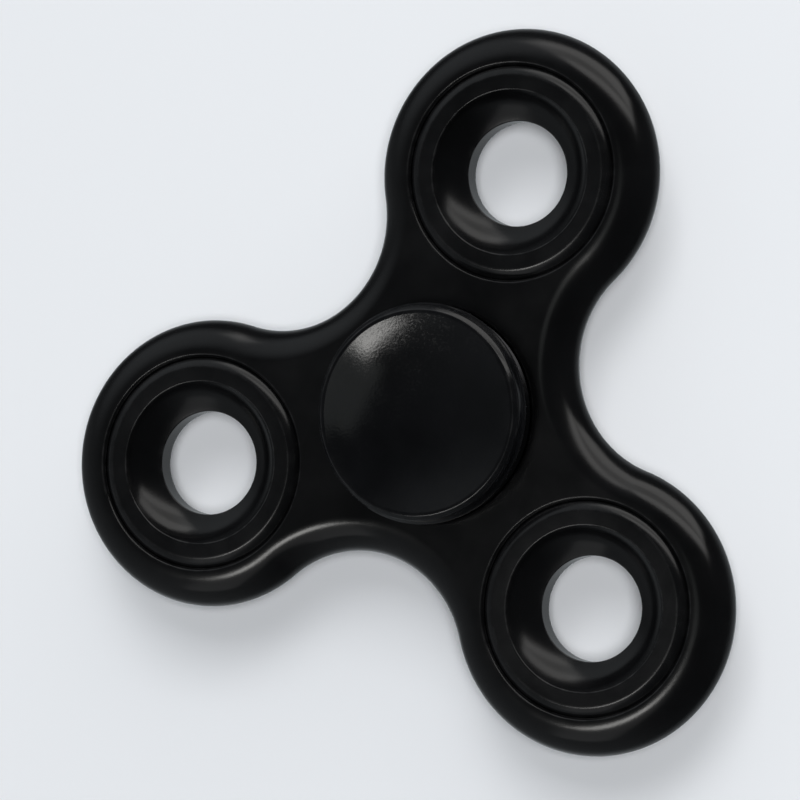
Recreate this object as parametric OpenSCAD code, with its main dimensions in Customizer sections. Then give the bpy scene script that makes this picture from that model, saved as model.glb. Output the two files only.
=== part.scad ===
// Three-arm fidget spinner, in millimetres.
// Z is the spin axis and the origin is the centre of the bearing.
// Arm A points along +Y, and the spinner lies on the rim of its lower cap.

/* [Arms] */
// Distance from the spin axis to the centre of each weight
arm_reach = 26.1; // [25.5:0.1:29]
// Radius of each rounded arm end
lobe_radius = 15; // [15:0.1:16.5]
// Distance from the spin axis to the hollow between two arms
waist_radius = 15.5; // [15:0.1:17]
// Thickness of the body between its flat faces
body_thickness = 6.4; // [6:0.1:6.8]
// Radius of the rounding around the body's edge
edge_radius = 3.5; // [3.45:0.05:3.7]

/* [Weights] */
// Diameter of the hole through each weight
weight_hole = 10.8; // [10:0.1:11.5]
// Length of the straight wall in the middle of that hole
weight_land = 2.2; // [2:0.1:3]
// Diameter of the dish at the weight's face
weight_lip = 16.9; // [16:0.1:17.5]
// Radius of the dish's curve, seen in section
weight_curve = 5.05; // [4.6:0.05:6]

/* [Bearing] */
// Bore diameter of the inner ring
bearing_bore = 8; // [7.6:0.1:8.4]
// Outer diameter of the bearing and of each weight
bearing_od = 22; // [21.8:0.1:22.2]
// Width of the bearing and of each weight
bearing_width = 7; // [6.9:0.1:7.2]
// Diameter of each ball
ball_diameter = 3.969; // [3.9:0.001:4]
// Play between each ball and the bottom of its groove
race_play = 0.03; // [0.02:0.01:0.05]

/* [Caps] */
// Outer diameter of each cap
cap_diameter = 22.7; // [22:0.1:23.4]
// Diameter of the dished thumb rest
cap_dish = 20.4; // [19:0.1:20.6]
// Depth of the dished thumb rest
cap_dish_depth = 1; // [0.6:0.1:1.3]
// Height of each cap's rim above the bearing's face
cap_rise = 3.4; // [3.2:0.1:3.8]
// Space between the bearing's face and the cap's underside
cap_gap = 1.4; // [1.2:0.1:1.5]

/* [Hidden] */
$fn = 96;

ink = [0.08, 0.08, 0.09];
steel = [0.74, 0.75, 0.77];
brass = [0.78, 0.66, 0.36];
clear = 1; // how far a cutting tool reaches past what it cuts

// Body. A notch is the arc that hollows the outline between two arms.
arm_angle = [90, 210, 330];
half_body = body_thickness / 2;
edge_slope = 5; // slope of the rounding where it runs out into the flat face
edge_sink = edge_radius * cos(edge_slope) - half_body;
edge_reach = sqrt(edge_radius ^ 2 - edge_sink ^ 2); // from the rounding's centre to the outline
stock_height = body_thickness + 2 * clear;
notch_radius = (waist_radius ^ 2 + arm_reach ^ 2 - waist_radius * arm_reach - lobe_radius ^ 2)
    / (2 * (lobe_radius - waist_radius) + arm_reach);
notch_reach = waist_radius + notch_radius;
notch_overlap = 0.02; // how far each notch reaches past touching its two lobes
bore_radius = bearing_od / 2;
bore_chamfer = 0.3;

// Weights
half_width = bearing_width / 2;
weight_chamfer = [0.85, 0.45]; // run and drop of the sloping outer edge
weight_shoulder = [0.15, 0.35]; // run and drop of the steep step below it

// Bearing
ball_count = 7;
ball_radius = ball_diameter / 2;
pitch_radius = (bearing_bore + bearing_od) / 4;
groove_radius = 0.52 * ball_diameter;
groove_shift = groove_radius - ball_radius - race_play;
land_half = 1.45; // from the pitch circle to each ring's land
ring_chamfer = 0.4;
shield_thickness = 0.25;
shield_depth = 0.8; // how deep the shield's seat lies below the ring's face
shield_play = 0.2; // between the shield and the inner ring
seat_width = 0.35;
wire_radius = 0.15;
wire_opening = 24; // degrees left open in each snap ring

// Cage
cage_thickness = 0.35;
pocket_play = 0.115;
pocket_radius = ball_radius + pocket_play;
pocket_cut = 3; // length of the cut that opens each pocket across the strip
cage_half_band = 1;
hump_length = 1.6;
rivet_radius = 0.35;
rivet_head = [0.65, 0.3]; // radius and height

// Caps
cap_radius = cap_diameter / 2;
cap_top = half_width + cap_rise;
cap_under = half_width + cap_gap;
cap_bevel = [0.4, 0.3]; // run and drop of the bevel beside the rim
cap_flank = [0.4, 1.1]; // run and drop of the steep flank below it
cap_undercut = 0.25;
dish_radius = ((cap_dish / 2) ^ 2 + cap_dish_depth ^ 2) / (2 * cap_dish_depth);
boss_radius = 5.7;
stem_end = 0.2; // from the mid-plane to the end of the stem
stem_core = 2.2;
stem_chamfer = 0.4;

// Centre of the circle of radius r through p and q that lies to the left of p to q
function arc_centre(p, q, r) =
    let (half = (q - p) / 2, rise = sqrt(r ^ 2 - half * half) / norm(half))
    p + half + rise * [-half[1], half[0]];

// ---- Body ----

// The rounded edge in section, from its centre at x = 0 outwards
module edge_profile() {
    intersection() {
        translate([0, -edge_sink])
            circle(r = edge_radius);
        translate([0, edge_sink])
            circle(r = edge_radius);
        translate([0, -stock_height / 2])
            square([edge_radius + clear, stock_height]);
    }
}

// The round end of an arm, taller than the body and centred on the weight
module lobe() {
    core = lobe_radius - edge_reach;
    rotate_extrude() {
        translate([0, -stock_height / 2])
            square([core, stock_height]);
        translate([core, 0])
            edge_profile();
    }
}

// What a notch removes between two arms, about the notch's centre
module notch_cutter() {
    cut = notch_radius + notch_overlap + edge_reach;
    height = stock_height + 2 * clear;
    rotate_extrude()
        difference() {
            translate([0, -height / 2])
                square([cut, height]);
            translate([cut, 0])
                mirror([1, 0])
                    edge_profile();
        }
}

// The plate that joins the lobes, with corners at the centres of the lobes and the notches
module web() {
    corners = [for (a = arm_angle, side = [0, 1])
        let (reach = side == 0 ? arm_reach : notch_reach, turn = a + 60 * side)
            reach * [cos(turn), sin(turn)]];
    difference() {
        linear_extrude(stock_height, center = true)
            polygon(corners);
        for (a = arm_angle)
            rotate(a + 60)
                translate([notch_reach, 0, 0])
                    notch_cutter();
    }
}

// What each 22 mm bore removes, with its chamfers
module bore() {
    cylinder(r = bore_radius, h = body_thickness + 2 * clear, center = true);
    for (side = [0, 1])
        mirror([0, 0, side])
            translate([0, 0, half_body - bore_chamfer])
                cylinder(r1 = bore_radius, r2 = bore_radius + bore_chamfer + clear,
                    h = bore_chamfer + clear);
}

// The lobes and the web, cut to thickness in one go so that each face is one plane
module body_frame() {
    slab = 4 * (arm_reach + lobe_radius);
    color(ink)
        difference() {
            intersection() {
                union() {
                    web();
                    for (a = arm_angle)
                        rotate(a)
                            translate([arm_reach, 0, 0])
                                lobe();
                }
                cube([slab, slab, body_thickness], center = true);
            }
            bore();
            for (a = arm_angle)
                rotate(a)
                    translate([arm_reach, 0, 0])
                        bore();
        }
}

// ---- Weights ----

// Half section of a ring's outline, with a sloping edge and a steep step at the outside
module ring_outline(inner) {
    slope = weight_chamfer;
    step = weight_shoulder;
    upper = [
        [bore_radius, half_width - slope[1] - step[1]],
        [bore_radius - step[0], half_width - slope[1]],
        [bore_radius - step[0] - slope[0], half_width],
        [inner, half_width]
    ];
    polygon(concat(upper, [for (i = [3:-1:0]) [upper[i][0], -upper[i][1]]]));
}

module counterweight(angle) {
    hole = weight_hole / 2;
    dish = arc_centre([hole, weight_land / 2], [weight_lip / 2, half_width], weight_curve);
    color(ink)
        rotate(angle)
            translate([arm_reach, 0, 0])
                rotate_extrude()
                    difference() {
                        ring_outline(hole);
                        for (side = [-1, 1])
                            translate([dish[0], side * dish[1]])
                                circle(r = weight_curve);
                    }
}

module counterweight_a() { counterweight(arm_angle[0]); }
module counterweight_b() { counterweight(arm_angle[1]); }
module counterweight_c() { counterweight(arm_angle[2]); }

// ---- Bearing ----

module bearing_outer_ring() {
    land = pitch_radius + land_half;
    seat = land + seat_width;
    color(steel)
        rotate_extrude()
            difference() {
                polygon([
                    [land, -half_width],
                    [bore_radius - ring_chamfer, -half_width],
                    [bore_radius, ring_chamfer - half_width],
                    [bore_radius, half_width - ring_chamfer],
                    [bore_radius - ring_chamfer, half_width],
                    [land, half_width]
                ]);
                translate([pitch_radius - groove_shift, 0])
                    circle(r = groove_radius);
                for (side = [0, 1])
                    mirror([0, side]) {
                        translate([land - clear, half_width - shield_depth])
                            square([clear + seat_width, shield_depth + clear]);
                        translate([seat - clear, half_width - shield_depth + shield_thickness])
                            square([clear + wire_radius, 2 * wire_radius]);
                    }
            }
}

module bearing_inner_ring() {
    land = pitch_radius - land_half;
    hole = bearing_bore / 2;
    color(steel)
        rotate_extrude()
            difference() {
                polygon([
                    [hole, ring_chamfer - half_width],
                    [hole + ring_chamfer, -half_width],
                    [land, -half_width],
                    [land, half_width],
                    [hole + ring_chamfer, half_width],
                    [hole, half_width - ring_chamfer]
                ]);
                translate([pitch_radius + groove_shift, 0])
                    circle(r = groove_radius);
            }
}

// Ball number n, counted from +X towards +Y
module ball(n) {
    color(steel)
        rotate(360 * (n - 1) / ball_count)
            translate([pitch_radius, 0, 0])
                sphere(r = ball_radius);
}

module ball_1() { ball(1); }
module ball_2() { ball(2); }
module ball_3() { ball(3); }
module ball_4() { ball(4); }
module ball_5() { ball(5); }
module ball_6() { ball(6); }
module ball_7() { ball(7); }

// Turns its children to each ball in turn, or to the gaps between the balls
module at_each_ball(shift = 0) {
    for (n = [0:ball_count - 1])
        rotate(360 * (n + shift) / ball_count)
            translate([pitch_radius, 0, 0])
                children();
}

// The flat strip around the pitch circle, before the pockets are pressed into it
module cage_strip() {
    translate([0, 0, cage_thickness / 2])
        difference() {
            cylinder(r = pitch_radius + cage_half_band, h = cage_thickness, center = true);
            cylinder(r = pitch_radius - cage_half_band, h = 2 * cage_thickness, center = true);
        }
}

// A half-round hump over one ball, still solid, with its ends facing inwards and outwards
module pocket_hump() {
    hump_radius = pocket_radius + cage_thickness;
    rotate([90, 0, 90])
        linear_extrude(hump_length, center = true)
            intersection() {
                circle(r = hump_radius);
                translate([-hump_radius, 0])
                    square([2 * hump_radius, hump_radius]);
            }
}

// One pressed half of the ribbon cage
module cage_half() {
    color(brass)
        difference() {
            union() {
                cage_strip();
                at_each_ball()
                    pocket_hump();
            }
            at_each_ball()
                rotate([0, 90, 0])
                    cylinder(r = pocket_radius, h = pocket_cut, center = true);
            at_each_ball(0.5)
                cylinder(r = rivet_radius, h = 4 * cage_thickness, center = true);
        }
}

module cage_upper() { cage_half(); }
module cage_lower() { mirror([0, 0, 1]) cage_half(); }

module cage_rivets() {
    color(steel)
        at_each_ball(0.5) {
            cylinder(r = rivet_radius, h = 2 * cage_thickness, center = true);
            for (side = [0, 1])
                mirror([0, 0, side])
                    translate([0, 0, cage_thickness])
                        cylinder(r1 = rivet_head[0], r2 = rivet_radius, h = rivet_head[1]);
        }
}

// A pressed shield: a flange on its seat, a short slope and a raised web
module shield() {
    seat_z = half_width - shield_depth;
    outer = pitch_radius + land_half + seat_width;
    inner = pitch_radius - land_half + shield_play;
    lift = shield_thickness;
    run = [outer - 0.7, outer - 0.9];
    color(steel)
        rotate_extrude()
            translate([0, seat_z])
                polygon([
                    [outer, 0],
                    [outer, lift],
                    [run[0], lift],
                    [run[1], 1.8 * lift],
                    [inner, 1.8 * lift],
                    [inner, 0.8 * lift],
                    [run[1], 0.8 * lift],
                    [run[0], 0]
                ]);
}

module shield_upper() { shield(); }
module shield_lower() { mirror([0, 0, 1]) shield(); }

// The split wire ring that holds a shield on its seat
module snap_ring() {
    wire_z = half_width - shield_depth + shield_thickness + wire_radius;
    color(steel)
        rotate(wire_opening / 2)
            rotate_extrude(angle = 360 - wire_opening)
                translate([pitch_radius + land_half + seat_width, wire_z])
                    circle(r = wire_radius);
}

module snap_ring_upper() { snap_ring(); }
module snap_ring_lower() { mirror([0, 0, 1]) snap_ring(); }

// ---- Caps ----

// A thumb cap: dished disc, boss against the inner ring and hollow press-in stem
module cap() {
    stem = bearing_bore / 2;
    flank = cap_radius - cap_flank[0];
    flank_z = cap_top - cap_bevel[1];
    color(ink)
        rotate_extrude()
            difference() {
                polygon([
                    [stem_core, stem_end],
                    [stem - stem_chamfer, stem_end],
                    [stem, stem_end + stem_chamfer],
                    [stem, half_width],
                    [boss_radius, half_width],
                    [boss_radius, cap_under],
                    [cap_radius - cap_undercut, cap_under],
                    [cap_radius, cap_under + cap_undercut],
                    [cap_radius, flank_z - cap_flank[1]],
                    [flank, flank_z],
                    [flank - cap_bevel[0], cap_top],
                    [0, cap_top],
                    [0, cap_under],
                    [stem_core, cap_under]
                ]);
                translate([0, cap_top + dish_radius - cap_dish_depth])
                    circle(r = dish_radius, $fn = 256);
            }
}

module cap_upper() { cap(); }
module cap_lower() { mirror([0, 0, 1]) cap(); }

body_frame();
counterweight_a();
counterweight_b();
counterweight_c();
bearing_outer_ring();
bearing_inner_ring();
ball_1();
ball_2();
ball_3();
ball_4();
ball_5();
ball_6();
ball_7();
cage_upper();
cage_lower();
cage_rivets();
shield_upper();
shield_lower();
snap_ring_upper();
snap_ring_lower();
cap_upper();
cap_lower();
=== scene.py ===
"""Looks for the three-arm fidget spinner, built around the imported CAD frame.

Shapes are drawn in millimetres. Lights, noise scales, bumps and Blender's own values are in metres.
"""

import math

import bmesh
import bpy
import numpy as np
from mathutils import Matrix, Vector


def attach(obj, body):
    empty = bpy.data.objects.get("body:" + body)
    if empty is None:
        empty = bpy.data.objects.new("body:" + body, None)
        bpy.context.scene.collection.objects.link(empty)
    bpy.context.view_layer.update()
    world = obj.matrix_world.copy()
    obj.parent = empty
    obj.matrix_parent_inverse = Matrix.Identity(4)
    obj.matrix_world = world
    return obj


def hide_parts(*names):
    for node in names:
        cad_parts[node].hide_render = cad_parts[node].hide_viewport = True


MM = 0.001
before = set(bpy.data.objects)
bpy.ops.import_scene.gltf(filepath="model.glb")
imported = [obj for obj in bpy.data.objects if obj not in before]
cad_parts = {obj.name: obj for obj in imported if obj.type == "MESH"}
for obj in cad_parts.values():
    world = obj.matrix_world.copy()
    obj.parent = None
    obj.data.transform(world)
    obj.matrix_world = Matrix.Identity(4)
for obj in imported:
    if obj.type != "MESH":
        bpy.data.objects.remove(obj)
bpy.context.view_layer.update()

# ---- Sizes, the same as the CAD's ----

ARM_REACH = 26.1
ARM_ANGLES = (90, 210, 330)
LOBE_RADIUS = 15.0
WAIST_RADIUS = 15.5
HALF_BODY = 3.2
EDGE_RADIUS = 3.5
BORE_RADIUS = 11.0
HALF_WIDTH = 3.5
CAP_TOP = 6.9
FLOOR_Z = -6.9
PITCH_RADIUS = 7.5
GROOVE_RADIUS = 2.06388
GROOVE_SHIFT = 0.04938
GROOVE_HALF_ANGLE = 43.4
RING_CHAMFER = 0.4
SHIELD_SEAT_Z = 2.7

# how far the corners of each kind of piece are softened
BAND_SOFT = 0.05
BORE_SOFT = 0.055
MOULD_SOFT = 0.06
RING_SOFT = 0.04
SHEET_SOFT = 0.03
SEGMENTS = 160  # steps round each turned shape

# ---- Sections and meshes ----


def arc(centre, radius, start, end, count=40):
    """Points on a circle, from one angle to another in degrees."""
    turns = np.radians(np.linspace(start, end, count))
    return [(centre[0] + radius * math.cos(t), centre[1] + radius * math.sin(t)) for t in turns]


def arc_centre(p, q, radius):
    """Centre of the circle through p and q that lies to the left of p to q."""
    p, q = np.array(p), np.array(q)
    half = (q - p) / 2
    rise = math.sqrt(radius**2 - half @ half) / np.linalg.norm(half)
    return p + half + rise * np.array([-half[1], half[0]])


def around_axis(radius, angle):
    """The point at this radius and angle in degrees about the spin axis."""
    return radius * math.cos(math.radians(angle)), radius * math.sin(math.radians(angle))


def soften(points, sigma, closed=True, turn=8.0):
    """A section with its corners rounded: points, outward normals and how sharply each point bends outwards.

    The section runs anticlockwise with the material on its left. It is drawn finely and smoothed along
    its length, and then thinned to a point every few degrees of turn.
    """
    step = 0.02
    longest = 1.6
    corner_bend, corner_gap = 30, 0.09
    p = np.array(points, float)
    if closed:
        p = np.vstack([p, p[:1]])
    at = np.concatenate([[0], np.cumsum(np.linalg.norm(np.diff(p, axis=0), axis=1))])
    count = int(at[-1] / step)
    s = np.linspace(0, at[-1], count, endpoint=not closed)
    q = np.stack([np.interp(s, at, p[:, k]) for k in (0, 1)], 1)
    reach = int(4 * sigma / step) + 1
    weights = np.exp(-0.5 * (np.arange(-reach, reach + 1) * step / sigma) ** 2)
    weights /= weights.sum()
    if closed:
        wide = np.vstack([q[-reach:], q, q[:reach]])
    else:
        wide = np.vstack([2 * q[0] - q[reach:0:-1], q, 2 * q[-1] - q[-2 : -reach - 2 : -1]])
    q = np.stack([np.convolve(wide[:, k], weights, "valid") for k in (0, 1)], 1)
    if closed:
        tangent = np.roll(q, -1, 0) - np.roll(q, 1, 0)
    else:
        tangent = np.gradient(q, axis=0)
    tangent /= np.linalg.norm(tangent, axis=1)[:, None]
    normal = np.stack([tangent[:, 1], -tangent[:, 0]], 1)
    heading = np.unwrap(np.arctan2(tangent[:, 1], tangent[:, 0]))
    bend = np.degrees(np.gradient(heading)) / step
    density = np.abs(bend) / turn + 1 / longest + (np.abs(bend) > corner_bend) / corner_gap
    cost = np.concatenate([[0], np.cumsum(density[1:] * step)])
    spread = np.linspace(0, cost[-1], int(cost[-1]) + 2)
    picks = np.unique(np.searchsorted(cost, spread).clip(0, count - 1))
    if closed and picks[-1] == count - 1:
        picks = picks[:-1]
    return q[picks], normal[picks], bend[picks]


def make_object(name, verts, faces, normals, edge, body, slot_name, node):
    """A mesh object from plain lists, with its own normals and an 'edge' value that wear follows."""
    mesh = bpy.data.meshes.new(name)
    mesh.from_pydata([tuple(v) for v in np.array(verts) * MM], [], faces)
    mesh.update()
    mesh.polygons.foreach_set("use_smooth", [True] * len(mesh.polygons))
    mesh.normals_split_custom_set_from_vertices([tuple(n) for n in normals])
    layer = mesh.attributes.new("edge", "FLOAT", "POINT")
    layer.data.foreach_set("value", np.array(edge, np.float32))
    obj = bpy.data.objects.new(name, mesh)
    bpy.context.scene.collection.objects.link(obj)
    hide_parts(node)
    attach(obj, body)
    return obj


def wear(bend):
    """From 0 on flats and hollows to 1 on sharp outward corners."""
    sharpest = 260.0
    return np.clip(bend / sharpest, 0, 1)


def lathe(points, sigma, closed=True, centre=(0.0, 0.0)):
    """Vertices, faces, normals and wear of a section turned about a vertical axis."""
    on_axis = 1e-6
    section, outward, bend = soften(points, sigma, closed)
    count = len(section)
    turns = np.radians(np.arange(SEGMENTS) * 360.0 / SEGMENTS)
    verts, normals, edge, faces, index = [], [], [], [], {}
    for i in range(count):
        if section[i][0] < on_axis:
            index[i] = [len(verts)] * SEGMENTS
            verts.append((centre[0], centre[1], section[i][1]))
            normals.append((0, 0, 1 if outward[i][1] > 0 else -1))
            edge.append(0.0)
            continue
        index[i] = list(range(len(verts), len(verts) + SEGMENTS))
        for t in turns:
            c, s = math.cos(t), math.sin(t)
            verts.append((centre[0] + section[i][0] * c, centre[1] + section[i][0] * s, section[i][1]))
            normals.append((outward[i][0] * c, outward[i][0] * s, outward[i][1]))
        edge += [wear(bend[i])] * SEGMENTS
    for i in range(count if closed else count - 1):
        low, high = index[i], index[(i + 1) % count]
        for k in range(SEGMENTS):
            m = (k + 1) % SEGMENTS
            corners = [low[k], low[m], high[m], high[k]]
            if low[k] == low[m]:
                corners = [low[k], high[m], high[k]]
            elif high[k] == high[m]:
                corners = [low[k], low[m], high[k]]
            faces.append(corners)
    return verts, faces, normals, edge


def mirrored(parts):
    """The same mesh reflected in the plane z = 0."""
    verts, faces, normals, edge = parts
    flipped_verts = [(x, y, -z) for x, y, z in verts]
    flipped_normals = [(x, y, -z) for x, y, z in normals]
    return flipped_verts, [f[::-1] for f in faces], flipped_normals, edge


# ---- Body ----


def outline(inset):
    """The body's outline moved inwards: points and outward normals, anticlockwise."""
    lobe_steps, notch_steps = 119, 53
    notch = (WAIST_RADIUS**2 + ARM_REACH**2 - WAIST_RADIUS * ARM_REACH - LOBE_RADIUS**2) / (
        2 * (LOBE_RADIUS - WAIST_RADIUS) + ARM_REACH
    )
    reach = WAIST_RADIUS + notch
    lobe_half = 180 - math.degrees(
        math.atan2(reach * math.sin(math.radians(60)), ARM_REACH - reach * math.cos(math.radians(60)))
    )
    points, normals = [], []
    for a in ARM_ANGLES:
        cx, cy = around_axis(ARM_REACH, a)
        for t in np.radians(np.linspace(a - lobe_half, a + lobe_half, lobe_steps)[:-1]):
            c, s = math.cos(t), math.sin(t)
            points.append((cx + (LOBE_RADIUS - inset) * c, cy + (LOBE_RADIUS - inset) * s))
            normals.append((c, s))
        b = a + 60
        cx, cy = around_axis(reach, b)
        half = lobe_half - 60
        for t in np.radians(np.linspace(b + 180 + half, b + 180 - half, notch_steps)[:-1]):
            c, s = math.cos(t), math.sin(t)
            points.append((cx + (notch + inset) * c, cy + (notch + inset) * s))
            normals.append((-c, -s))
    return points, normals


def edge_band():
    """The body's rounded edge in section, from the lower flat to the upper, with its ends on the flats."""
    sink = EDGE_RADIUS - HALF_BODY
    run = math.sqrt(EDGE_RADIUS**2 - sink**2)
    tip = math.degrees(math.asin(sink / EDGE_RADIUS))
    upper = arc((-run, -sink), EDGE_RADIUS, tip, 90, 60)
    lower = [(x, -z) for x, z in reversed(upper)]
    band, normal, bend = soften(lower + upper[1:], BAND_SOFT, closed=False, turn=4.5)
    band[0], band[-1] = (-run, -HALF_BODY), (-run, HALF_BODY)
    normal[0], normal[-1] = (0, -1), (0, 1)
    return list(zip(band, normal, bend))


def bore_wall():
    """A bore's wall in section, from the upper flat down to the lower, with its ends on the flats."""
    chamfer, play = 0.27, 0.02
    rim = BORE_RADIUS + 0.47
    wall = [
        (rim, HALF_BODY),
        (BORE_RADIUS + chamfer, HALF_BODY),
        (BORE_RADIUS + play, HALF_BODY - chamfer),
        (BORE_RADIUS + play, chamfer - HALF_BODY),
        (BORE_RADIUS + chamfer, -HALF_BODY),
        (rim, -HALF_BODY),
    ]
    section, normal, bend = soften(wall, BORE_SOFT, closed=False)
    section[0], section[-1] = (rim, HALF_BODY), (rim, -HALF_BODY)
    normal[0], normal[-1] = (0, 1), (0, -1)
    return list(zip(section, normal, bend))


def ring_faces(one, other):
    """Four-sided faces between two rings of vertex numbers."""
    size = len(one)
    return [[one[k], one[(k + 1) % size], other[(k + 1) % size], other[k]] for k in range(size)]


def flat_faces(verts, rings, side):
    """Triangles that fill the flat between the outline and the four bores, facing up (1) or down (-1)."""
    bm = bmesh.new()
    edges = []
    for ring in rings:
        made = [bm.verts.new((verts[i][0], verts[i][1], 0.0)) for i in ring]
        edges += [bm.edges.new((made[k], made[(k + 1) % len(made)])) for k in range(len(made))]
    numbers = [i for ring in rings for i in ring]
    bm.verts.index_update()
    bmesh.ops.triangle_fill(bm, use_beauty=True, use_dissolve=False, edges=edges, normal=(0, 0, 1))
    faces = []
    for face in bm.faces:
        corners = [numbers[v.index] for v in face.verts]
        if face.normal.z * side < 0:
            corners.reverse()
        faces.append(corners)
    bm.free()
    return faces


def body_parts():
    """The body: one rounded band round the outline, a wall in each bore and two flat faces between them."""
    inset = 0.012  # keeps the softened edge inside the CAD's box
    band_wear = 0.25
    verts, normals, edge, faces = [], [], [], []
    rows = []
    for (x, z), (nx, nz), bend in edge_band():
        points, outward = outline(inset - x)
        rows.append(list(range(len(verts), len(verts) + len(points))))
        verts += [(px, py, z) for px, py in points]
        normals += [(nx * ox, nx * oy, nz) for ox, oy in outward]
        edge += [band_wear * wear(bend)] * len(points)
    for low, high in zip(rows, rows[1:]):
        faces += ring_faces(low, high)
    lower_rings, upper_rings = [rows[0]], [rows[-1]]
    wall = bore_wall()
    for cx, cy in [(0.0, 0.0)] + [around_axis(ARM_REACH, a) for a in ARM_ANGLES]:
        rows = []
        for (r, z), (nr, nz), bend in wall:
            rows.append(list(range(len(verts), len(verts) + SEGMENTS)))
            for k in range(SEGMENTS):
                c, s = math.cos(2 * math.pi * k / SEGMENTS), math.sin(2 * math.pi * k / SEGMENTS)
                verts.append((cx + r * c, cy + r * s, z))
                normals.append((nr * c, nr * s, nz))
            edge += [wear(bend)] * SEGMENTS
        for high, low in zip(rows, rows[1:]):
            faces += ring_faces(high, low)
        upper_rings.append(rows[0])
        lower_rings.append(rows[-1])
    faces += flat_faces(verts, upper_rings, 1)
    faces += flat_faces(verts, lower_rings, -1)
    return verts, faces, normals, edge


# ---- Weights, caps and bearing ----


def weight_section():
    """A ring weight: a dished hole, a flat face and a rounded shoulder, the same above and below."""
    hole, lip, land, curve = 5.4, 8.45, 1.1, 5.05
    centre = arc_centre((hole, land), (lip, HALF_WIDTH), curve)
    start = math.degrees(math.atan2(HALF_WIDTH - centre[1], lip - centre[0]))
    end = math.degrees(math.atan2(land - centre[1], hole - centre[0]))
    dish = arc(centre, curve, start, end, 60)
    # the shoulder runs from a steep side to a slight slope (in degrees) where it meets the flat face
    flat_edge, side_top, rounding, slope = 10.0, 2.6, 1.444, 12
    shoulder_centre = (
        flat_edge - rounding * math.sin(math.radians(slope)),
        HALF_WIDTH - rounding * math.cos(math.radians(slope)),
    )
    shoulder = arc(shoulder_centre, rounding, 30, 90 - slope)
    upper = [(BORE_RADIUS, side_top)] + shoulder + dish
    return upper + [(r, -z) for r, z in reversed(upper)]


def cap_section():
    """A thumb cap, from the axis round its hollow stem, boss, underside and rim to the middle of the dish."""
    core, stem, stem_end, stem_chamfer = 2.2, 4.0, 0.2, 0.4
    boss, under = 5.7, 4.9
    dish_edge, dish_depth = 10.2, 1
    dish_radius = (dish_edge**2 + dish_depth) / 2
    centre_z = CAP_TOP + dish_radius - dish_depth
    inside = [
        (0, under),
        (core, under),
        (core, stem_end),
        (stem - stem_chamfer, stem_end),
        (stem, stem_end + stem_chamfer),
        (stem, HALF_WIDTH),
        (boss, HALF_WIDTH),
        (boss, under),
    ]
    foot_ledge = [(11.15, under), (11.33, 5.08), (11.33, 5.34), (11.22, 5.5)]
    flank = [(11.14, 5.6), (11.03, 6.3), (10.95, 6.52), (10.55, CAP_TOP)]
    dish = [(r, centre_z - math.sqrt(dish_radius**2 - r**2)) for r in np.linspace(dish_edge, 0, 60)]
    return inside + foot_ledge + flank + dish


def outer_ring_section():
    """The bearing's outer ring, with a ball groove and a seat for each shield."""
    land, seat, groove_top = 8.95, 9.3, 1.42
    groove_centre = (PITCH_RADIUS - GROOVE_SHIFT, 0)
    groove = arc(groove_centre, GROOVE_RADIUS, GROOVE_HALF_ANGLE, -GROOVE_HALF_ANGLE)
    return [
        (BORE_RADIUS - RING_CHAMFER, -HALF_WIDTH),
        (BORE_RADIUS, RING_CHAMFER - HALF_WIDTH),
        (BORE_RADIUS, HALF_WIDTH - RING_CHAMFER),
        (BORE_RADIUS - RING_CHAMFER, HALF_WIDTH),
        (seat, HALF_WIDTH),
        (seat, SHIELD_SEAT_Z),
        (land, SHIELD_SEAT_Z),
        (land, groove_top),
        *groove,
        (land, -groove_top),
        (land, -SHIELD_SEAT_Z),
        (seat, -SHIELD_SEAT_Z),
        (seat, -HALF_WIDTH),
    ]


def inner_ring_section():
    """The bearing's inner ring, with a ball groove and a chamfered hole."""
    land, hole = 6.05, 4.0
    groove_centre = (PITCH_RADIUS + GROOVE_SHIFT, 0)
    groove = arc(groove_centre, GROOVE_RADIUS, 180 + GROOVE_HALF_ANGLE, 180 - GROOVE_HALF_ANGLE)
    return [
        (hole + RING_CHAMFER, -HALF_WIDTH),
        (land, -HALF_WIDTH),
        *groove,
        (land, HALF_WIDTH),
        (hole + RING_CHAMFER, HALF_WIDTH),
        (hole, HALF_WIDTH - RING_CHAMFER),
        (hole, RING_CHAMFER - HALF_WIDTH),
    ]


def shield_section():
    """A pressed shield: a flange on its seat, a short slope and a raised web."""
    lift, outer, inner = 0.25, 9.3, 6.25
    bend_start, bend_end = outer - 0.7, outer - 0.9
    web_top, web_under = SHIELD_SEAT_Z + 1.8 * lift, SHIELD_SEAT_Z + 0.8 * lift
    return [
        (outer, SHIELD_SEAT_Z),
        (outer, SHIELD_SEAT_Z + lift),
        (bend_start, SHIELD_SEAT_Z + lift),
        (bend_end, web_top),
        (inner, web_top),
        (inner, web_under),
        (bend_end, web_under),
        (bend_start, SHIELD_SEAT_Z),
    ]


visual = {"body": make_object("body_shell", *body_parts(), "rotor", "body_plastic", "body_frame")}
for letter, angle in zip("abc", ARM_ANGLES):
    parts = lathe(weight_section(), MOULD_SOFT, centre=around_axis(ARM_REACH, angle))
    visual["weight_" + letter] = make_object(
        "weight_ring_" + letter, *parts, "rotor", "weight_coating", "counterweight_" + letter
    )
cap_parts = lathe(cap_section(), MOULD_SOFT, closed=False)
for side, parts in (("upper", cap_parts), ("lower", mirrored(cap_parts))):
    visual["cap_" + side] = make_object("thumb_cap_" + side, *parts, "hub", "cap_plastic", "cap_" + side)
for side, section, body in (("outer", outer_ring_section(), "rotor"), ("inner", inner_ring_section(), "hub")):
    parts = lathe(section, RING_SOFT)
    visual[side + "_ring"] = make_object(
        "bearing_race_" + side, *parts, body, "bearing_steel", "bearing_" + side + "_ring"
    )
shield_parts = lathe(shield_section(), SHEET_SOFT)
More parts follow.
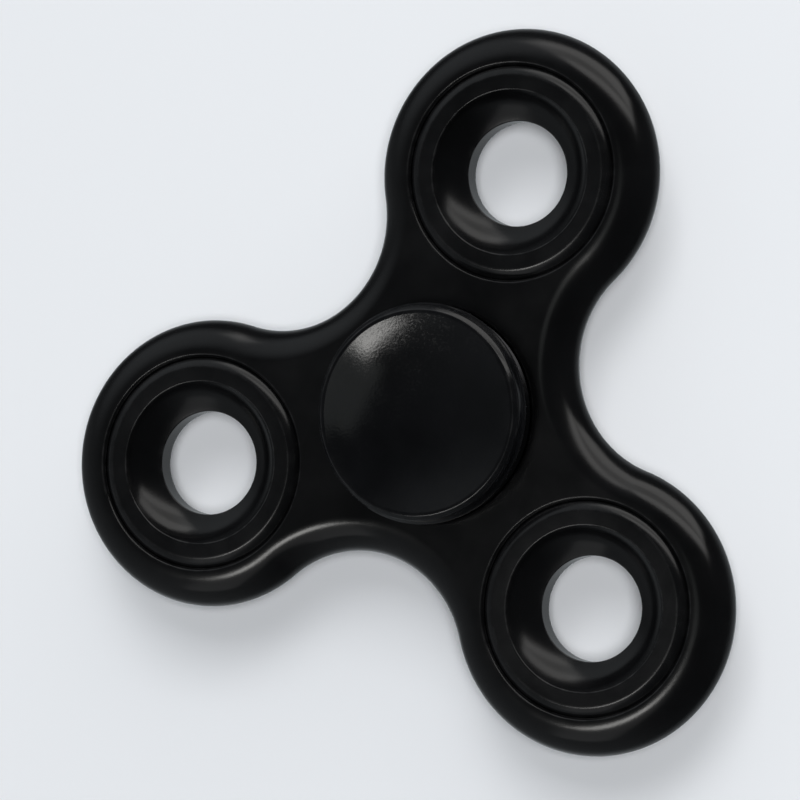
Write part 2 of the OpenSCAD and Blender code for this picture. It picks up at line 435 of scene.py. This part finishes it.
for side, parts in (("upper", shield_parts), ("lower", mirrored(shield_parts))):
    visual["shield_" + side] = make_object(
        "pressed_shield_" + side, *parts, "rotor", "shield_sheet", "shield_" + side
    )

# ---- Materials ----


def material(name):
    """A new material with one Principled shader: the material, its node tree and the shader."""
    mat = bpy.data.materials.new(name)
    mat.use_nodes = True
    tree = mat.node_tree
    tree.nodes.clear()
    out = tree.nodes.new("ShaderNodeOutputMaterial")
    bsdf = tree.nodes.new("ShaderNodeBsdfPrincipled")
    tree.links.new(bsdf.outputs["BSDF"], out.inputs["Surface"])
    return mat, tree, bsdf


def noise(tree, scale, detail, stretch=None):
    """Noise in object space, so that it stays with the piece. scale is in features per metre."""
    coord = tree.nodes.new("ShaderNodeTexCoord")
    node = tree.nodes.new("ShaderNodeTexNoise")
    node.inputs["Scale"].default_value = scale
    node.inputs["Detail"].default_value = detail
    if stretch:
        mapping = tree.nodes.new("ShaderNodeMapping")
        mapping.inputs["Scale"].default_value = stretch
        tree.links.new(coord.outputs["Object"], mapping.inputs["Vector"])
        tree.links.new(mapping.outputs["Vector"], node.inputs["Vector"])
    else:
        tree.links.new(coord.outputs["Object"], node.inputs["Vector"])
    return node.outputs["Fac"]


def remap(tree, value, low, high, to_low, to_high):
    node = tree.nodes.new("ShaderNodeMapRange")
    for key, number in (("From Min", low), ("From Max", high), ("To Min", to_low), ("To Max", to_high)):
        node.inputs[key].default_value = number
    tree.links.new(value, node.inputs["Value"])
    return node.outputs["Result"]


def maths(tree, operation, a, b):
    node = tree.nodes.new("ShaderNodeMath")
    node.operation = operation
    for socket, item in zip(node.inputs, (a, b)):
        if isinstance(item, (int, float)):
            socket.default_value = item
        else:
            tree.links.new(item, socket)
    return node.outputs["Value"]


def mix_colour(tree, factor, a, b):
    node = tree.nodes.new("ShaderNodeMix")
    node.data_type = "RGBA"
    tree.links.new(factor, node.inputs["Factor"])
    for socket, item in ((node.inputs["A"], a), (node.inputs["B"], b)):
        if isinstance(item, tuple):
            socket.default_value = item
        else:
            tree.links.new(item, socket)
    return node.outputs["Result"]


def bump(tree, height, distance, below=None):
    node = tree.nodes.new("ShaderNodeBump")
    node.inputs["Distance"].default_value = distance
    node.inputs["Strength"].default_value = 1.0
    tree.links.new(height, node.inputs["Height"])
    if below is not None:
        tree.links.new(below, node.inputs["Normal"])
    return node.outputs["Normal"]


def edge_value(tree):
    node = tree.nodes.new("ShaderNodeAttribute")
    node.attribute_name = "edge"
    return node.outputs["Fac"]


def shade(colour, factor):
    """The colour made darker or lighter."""
    return tuple(min(1, factor * c) for c in colour[:3]) + (1,)


def plastic(name, base, worn, rough, spread, grain, grain_height, specks=0.0):
    """Moulded black plastic: cloudy gloss, a fine grain, faint scratches and edges rubbed lighter."""
    plastic_ior = 1.5
    cloud_scale, scratch_scale, rub_scale, speck_scale = 160, 900, 700, 3200
    wave_scale, wave_height = 220, 0.00001
    scratch_dulling, rub_dulling = 0.02, 0.06
    mat, tree, bsdf = material(name)
    bsdf.inputs["IOR"].default_value = plastic_ior
    cloud = noise(tree, cloud_scale, 4)
    scratch = remap(tree, noise(tree, scratch_scale, 2, (1.0, 0.06, 1.0)), 0.66, 0.76, 0, 1)
    patches = remap(tree, noise(tree, rub_scale, 4), 0.42, 0.62, 0.15, 1)
    rubbed = maths(tree, "MULTIPLY", edge_value(tree), patches)
    tone = mix_colour(tree, remap(tree, cloud, 0.3, 0.7, 0, 1), base, shade(base, 1.7))
    tree.links.new(mix_colour(tree, rubbed, tone, worn), bsdf.inputs["Base Color"])
    gloss = remap(tree, cloud, 0.3, 0.7, rough - spread, rough + spread)
    gloss = maths(tree, "ADD", gloss, maths(tree, "MULTIPLY", scratch, scratch_dulling))
    gloss = maths(tree, "ADD", gloss, maths(tree, "MULTIPLY", rubbed, rub_dulling))
    if specks:
        dull = remap(tree, noise(tree, speck_scale, 3), 0.56, 0.62, 0, specks)
        clusters = remap(tree, cloud, 0.4, 0.6, 0.3, 1)
        gloss = maths(tree, "ADD", gloss, maths(tree, "MULTIPLY", dull, clusters))
    tree.links.new(gloss, bsdf.inputs["Roughness"])
    fine = bump(tree, noise(tree, grain, 3), grain_height)
    waves = bump(tree, noise(tree, wave_scale, 1), wave_height, below=fine)
    tree.links.new(waves, bsdf.inputs["Normal"])
    return mat


def steel(name, base, rough, spread, streak=(1, 1, 1)):
    """Ground or pressed steel, with a fine grain, streaked if asked for, and a little tarnish."""
    cloud_scale, line_scale, line_height = 260, 2400, 0.0000005
    mat, tree, bsdf = material(name)
    bsdf.inputs["Metallic"].default_value = 1.0
    cloud = noise(tree, cloud_scale, 3)
    lines = noise(tree, line_scale, 2, streak)
    tone = mix_colour(tree, remap(tree, cloud, 0.35, 0.7, 0, 1), base, shade(base, 0.72))
    tree.links.new(tone, bsdf.inputs["Base Color"])
    tree.links.new(remap(tree, lines, 0.3, 0.7, rough - spread, rough + spread), bsdf.inputs["Roughness"])
    tree.links.new(bump(tree, lines, line_height), bsdf.inputs["Normal"])
    return mat


BLACK = (0.005, 0.0051, 0.0057, 1)
COATING_BLACK = (0.0058, 0.006, 0.0068, 1)
CAP_BLACK = (0.006, 0.0063, 0.0074, 1)
RUBBED_PLASTIC = (0.03, 0.03, 0.032, 1)
RUBBED_COATING = (0.045, 0.045, 0.047, 1)
finishes = {
    "body": plastic("satin_black_plastic", BLACK, RUBBED_PLASTIC, 0.19, 0.04, 5200, 0.0000035),
    "weight": plastic("black_coating", COATING_BLACK, RUBBED_COATING, 0.21, 0.04, 3600, 0.000004),
    "cap": plastic("gloss_black_plastic", CAP_BLACK, RUBBED_PLASTIC, 0.1, 0.02, 4200, 0.000004, specks=0.08),
    "ring": steel("blackened_ring_steel", (0.05, 0.05, 0.053, 1), 0.26, 0.06, streak=(1, 1, 8)),
    "ball": steel("ball_steel", (0.62, 0.63, 0.65, 1), 0.07, 0.03),
    "cage": steel("cage_strip_steel", (0.5, 0.46, 0.36, 1), 0.34, 0.08),
    "shield": steel("shield_sheet_steel", (0.4, 0.41, 0.43, 1), 0.3, 0.03),
    "wire": steel("spring_wire_steel", (0.3, 0.3, 0.31, 1), 0.32, 0.06),
}

for name, obj in visual.items():
    kind = next(k for k in ("body", "weight", "cap", "ring", "shield") if k in name)
    obj.data.materials.append(finishes[kind])
for node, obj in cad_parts.items():
    for start, kind in (("ball_", "ball"), ("cage_", "cage"), ("snap_ring", "wire")):
        if node.startswith(start):
            for slot in obj.material_slots:
                slot.material = finishes[kind]

# ---- Stage ----

FLOOR_REACH = 4.0
corner_signs = ((-1, -1), (1, -1), (1, 1), (-1, 1))
floor_corners = [(x * FLOOR_REACH, y * FLOOR_REACH, FLOOR_Z * MM) for x, y in corner_signs]
floor_mesh = bpy.data.meshes.new("floor")
floor_mesh.from_pydata(floor_corners, [], [(0, 1, 2, 3)])
floor = bpy.data.objects.new("floor", floor_mesh)
bpy.context.scene.collection.objects.link(floor)
floor.visible_glossy = False  # the part reflects the studio, not the paper it lies on
paper, paper_tree, paper_bsdf = material("pale_paper")
paper_bsdf.inputs["Base Color"].default_value = (0.80, 0.83, 0.86, 1)
paper_bsdf.inputs["Roughness"].default_value = 0.9
paper_bsdf.inputs["Specular IOR Level"].default_value = 0.2
floor_mesh.materials.append(paper)

# ---- Lights ----


def polar(theta, azimuth):
    """A direction in the part's frame: theta from straight up, azimuth from +X towards +Y."""
    t, a = math.radians(theta), math.radians(azimuth)
    return Vector((math.sin(t) * math.cos(a), math.sin(t) * math.sin(a), math.cos(t)))


def panel(name, centre, side, distance, width, height, radiance, colour=(1, 1, 1)):
    """A rectangular soft light that faces the object from the direction centre.

    width runs along side. Both width and height are angles seen from the object, in degrees.
    """
    power_per_radiance = 4  # what Cycles divides an area light's power by, for each square metre
    centre = centre.normalized()
    across = (side - centre * side.dot(centre)).normalized()
    upright = centre.cross(across)
    data = bpy.data.lights.new(name, "AREA")
    data.shape = "RECTANGLE"
    data.size = 2 * distance * math.tan(math.radians(width / 2))
    data.size_y = 2 * distance * math.tan(math.radians(height / 2))
    data.energy = power_per_radiance * data.size * data.size_y * radiance
    data.color = colour
    light = bpy.data.objects.new(name, data)
    bpy.context.scene.collection.objects.link(light)
    facing = Matrix((across, upright, centre)).transposed().to_4x4()
    light.matrix_world = Matrix.Translation(centre * distance) @ facing
    return light


WINDOW_TONE = (1, 0.985, 0.965)
panel("window", polar(68, 88), Vector((1, 0.2, -0.62)), 3.0, 62, 48, 0.6, WINDOW_TONE)
high_centre, high_side = Vector((0.16, 0.75, 0.642)), Vector((0.793, 0.178, -0.371))
panel("window_high", high_centre, high_side, 2.9, 57, 14, 0.65, WINDOW_TONE)
panel("window_low", polar(80, 90), Vector((1, 0.05, -0.15)), 3.1, 60, 24, 0.45, WINDOW_TONE)
lamps = [
    panel("ceiling_lamp", polar(22.5, 253), polar(90, 330), 2.2, 9, 17, 5.6, (1, 0.99, 0.96)),
    panel("ceiling_halo", polar(5.5, 240), polar(90, 350), 2.3, 14, 16, 0.22, (0.94, 1, 0.98)),
    panel("front_fill", polar(45, 268), polar(90, 358), 2.6, 26, 46, 0.22),
]
# the paper has two lamps of its own: a soft one for the shadow, and one by the camera to fill the holes
PAPER_TONE = (1, 0.99, 0.995)
paper_lamps = [
    panel("paper_lamp", polar(38, 95), polar(90, 185), 2.0, 30, 30, 3.0, PAPER_TONE),
    panel("paper_fill", polar(22, 14), polar(90, 104), 2.0, 14, 14, 24.9, PAPER_TONE),
]
paper_only = bpy.data.collections.new("paper_only")
paper_only.objects.link(floor)
for lamp in paper_lamps:
    lamp.light_linking.receiver_collection = paper_only
all_but_paper = bpy.data.collections.new("all_but_paper")
all_but_paper.objects.link(floor)
all_but_paper.collection_objects[0].light_linking.link_state = "EXCLUDE"
for lamp in lamps:
    lamp.light_linking.receiver_collection = all_but_paper

world = bpy.data.worlds.new("studio")
bpy.context.scene.world = world
world.use_nodes = True
tree = world.node_tree
background = tree.nodes["Background"]
background.inputs["Strength"].default_value = 1.0
coord = tree.nodes.new("ShaderNodeTexCoord")


def side_glow(direction, low, high, amount):
    """Brightness that rises smoothly towards one direction."""
    dot = tree.nodes.new("ShaderNodeVectorMath")
    dot.operation = "DOT_PRODUCT"
    dot.inputs[1].default_value = direction.normalized()
    tree.links.new(coord.outputs["Generated"], dot.inputs[0])
    ramp = tree.nodes.new("ShaderNodeMapRange")
    ramp.interpolation_type = "SMOOTHSTEP"
    for key, number in (("From Min", low), ("From Max", high), ("To Min", 0.0), ("To Max", amount)):
        ramp.inputs[key].default_value = number
    tree.links.new(dot.outputs["Value"], ramp.inputs["Value"])
    return ramp.outputs["Result"]


EVEN_GLOW = 0.03
PAPER_GLOW = 0.42  # what the paper would throw up on the walls of the holes
left_glow = side_glow(polar(62, 146), 0.74, 1.0, 0.36)
low_glow = side_glow(polar(85, 240), 0.2, 1.0, 0.15)
glow = maths(tree, "ADD", left_glow, low_glow)
glow = maths(tree, "ADD", glow, side_glow(Vector((0, 0, -1)), 0.4, 1.0, PAPER_GLOW))
glow = maths(tree, "ADD", glow, EVEN_GLOW)
tint = tree.nodes.new("ShaderNodeMix")
tint.data_type = "RGBA"
tint.blend_type = "MULTIPLY"
tint.inputs["Factor"].default_value = 1.0
tint.inputs["A"].default_value = (0.9, 0.96, 1.0, 1)
tree.links.new(glow, tint.inputs["B"])
tree.links.new(tint.outputs["Result"], background.inputs["Color"])

# ---- Camera ----

CAMERA_PLACE = Vector((198.945, 48.035, 511.182)) * MM
CAMERA_RIGHT = Vector((0.87151, 0.31368, -0.37693))
CAMERA_DOWN = Vector((0.32305, -0.94554, -0.03995))
CAMERA_AHEAD = Vector((-0.36893, -0.08695, -0.92538))
camera_data = bpy.data.cameras.new("camera")
camera_data.lens = 240.75
camera_data.sensor_width = 36
camera_data.clip_start, camera_data.clip_end = 0.01, 20
camera = bpy.data.objects.new("camera", camera_data)
bpy.context.scene.collection.objects.link(camera)
turn = Matrix((CAMERA_RIGHT, -CAMERA_DOWN, -CAMERA_AHEAD)).transposed()
camera.matrix_world = Matrix.Translation(CAMERA_PLACE) @ turn.to_4x4()
bpy.context.scene.camera = camera
bpy.context.scene.view_settings.view_transform = "Standard"
